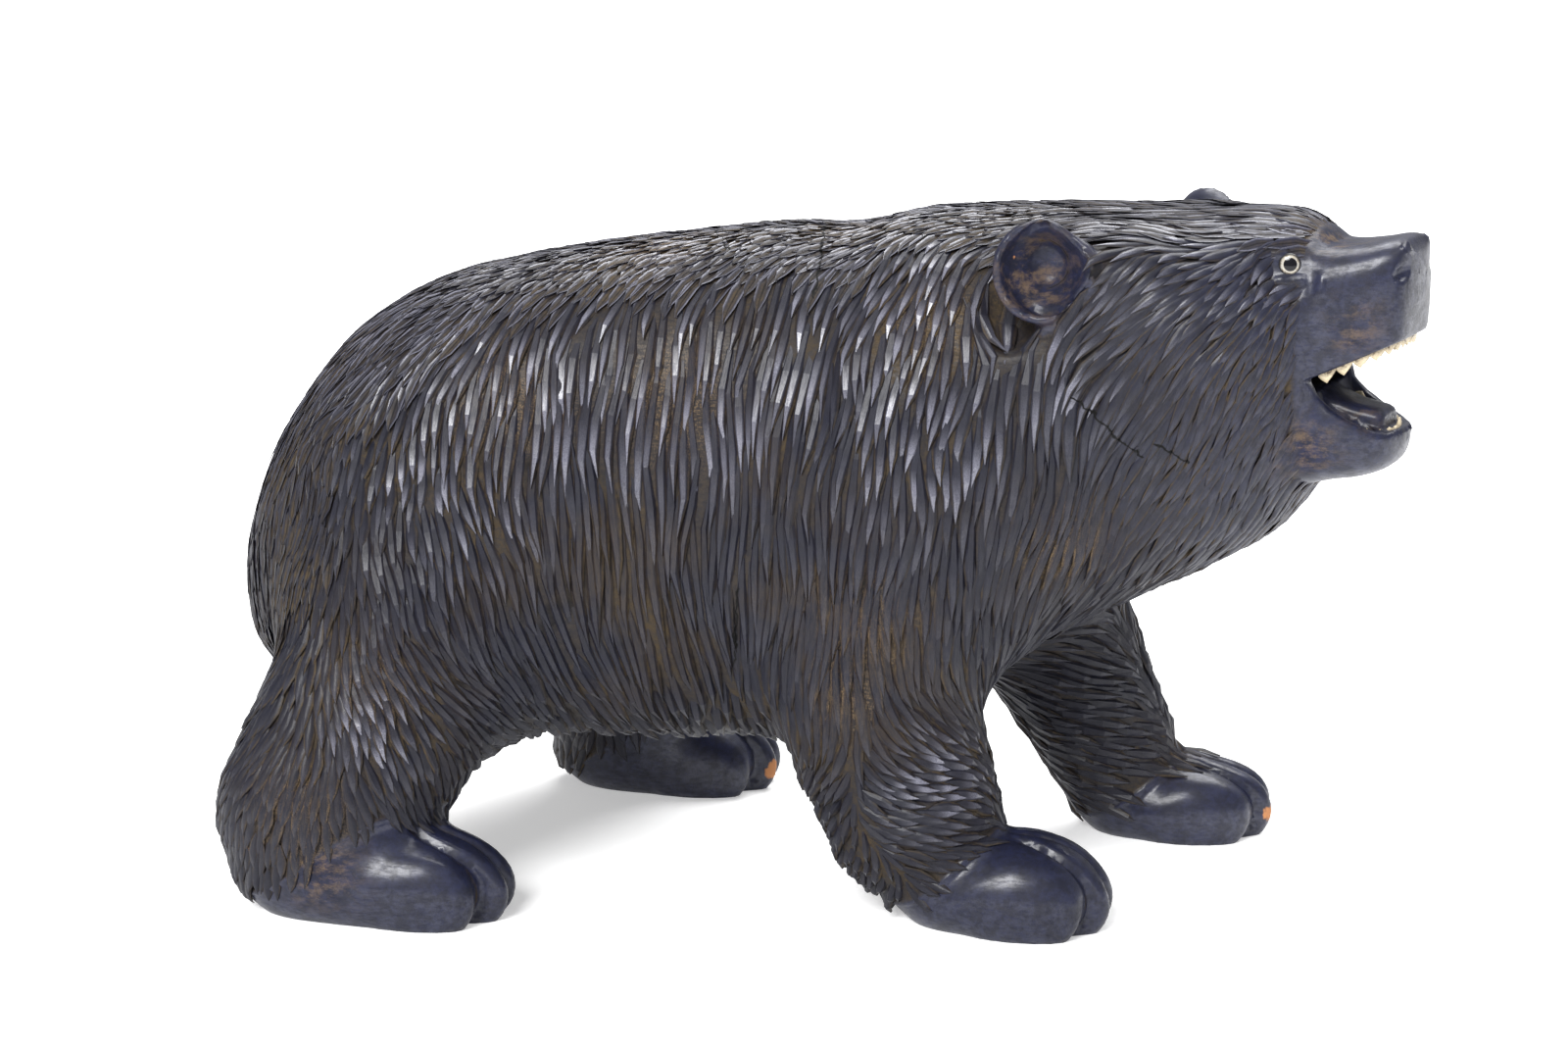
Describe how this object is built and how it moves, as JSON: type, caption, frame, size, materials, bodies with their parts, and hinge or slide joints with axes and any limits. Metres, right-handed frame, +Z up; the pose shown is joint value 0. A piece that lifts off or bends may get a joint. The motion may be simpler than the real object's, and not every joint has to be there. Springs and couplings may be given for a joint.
{
  "type": "carved wooden bear",
  "caption": "Dark stained wooden bear carved walking on all fours, head turned to its right with the mouth open, fur cut in long locks, inset glass eyes and cut tooth strips.",
  "frame": {"origin": "on the ground under the middle of the bear's bounding box", "axes": "+X the way the bear walks, +Y its left side, +Z up"},
  "size_m": [0.4482, 0.2264, 0.2631],
  "materials": {
    "stained_wood": "blue-black stain with a satin polish, worn to brown in the cuts",
    "eye_glass": "polished glass over an ivory ring and a black pupil",
    "tooth_inlay": "ivory-coloured, smooth"
  },
  "bodies": {
    "root": {"bear": "stained_wood", "right_eye": "eye_glass", "left_eye": "eye_glass", "upper_teeth": "tooth_inlay", "lower_teeth": "tooth_inlay"}
  },
  "joints": []
}
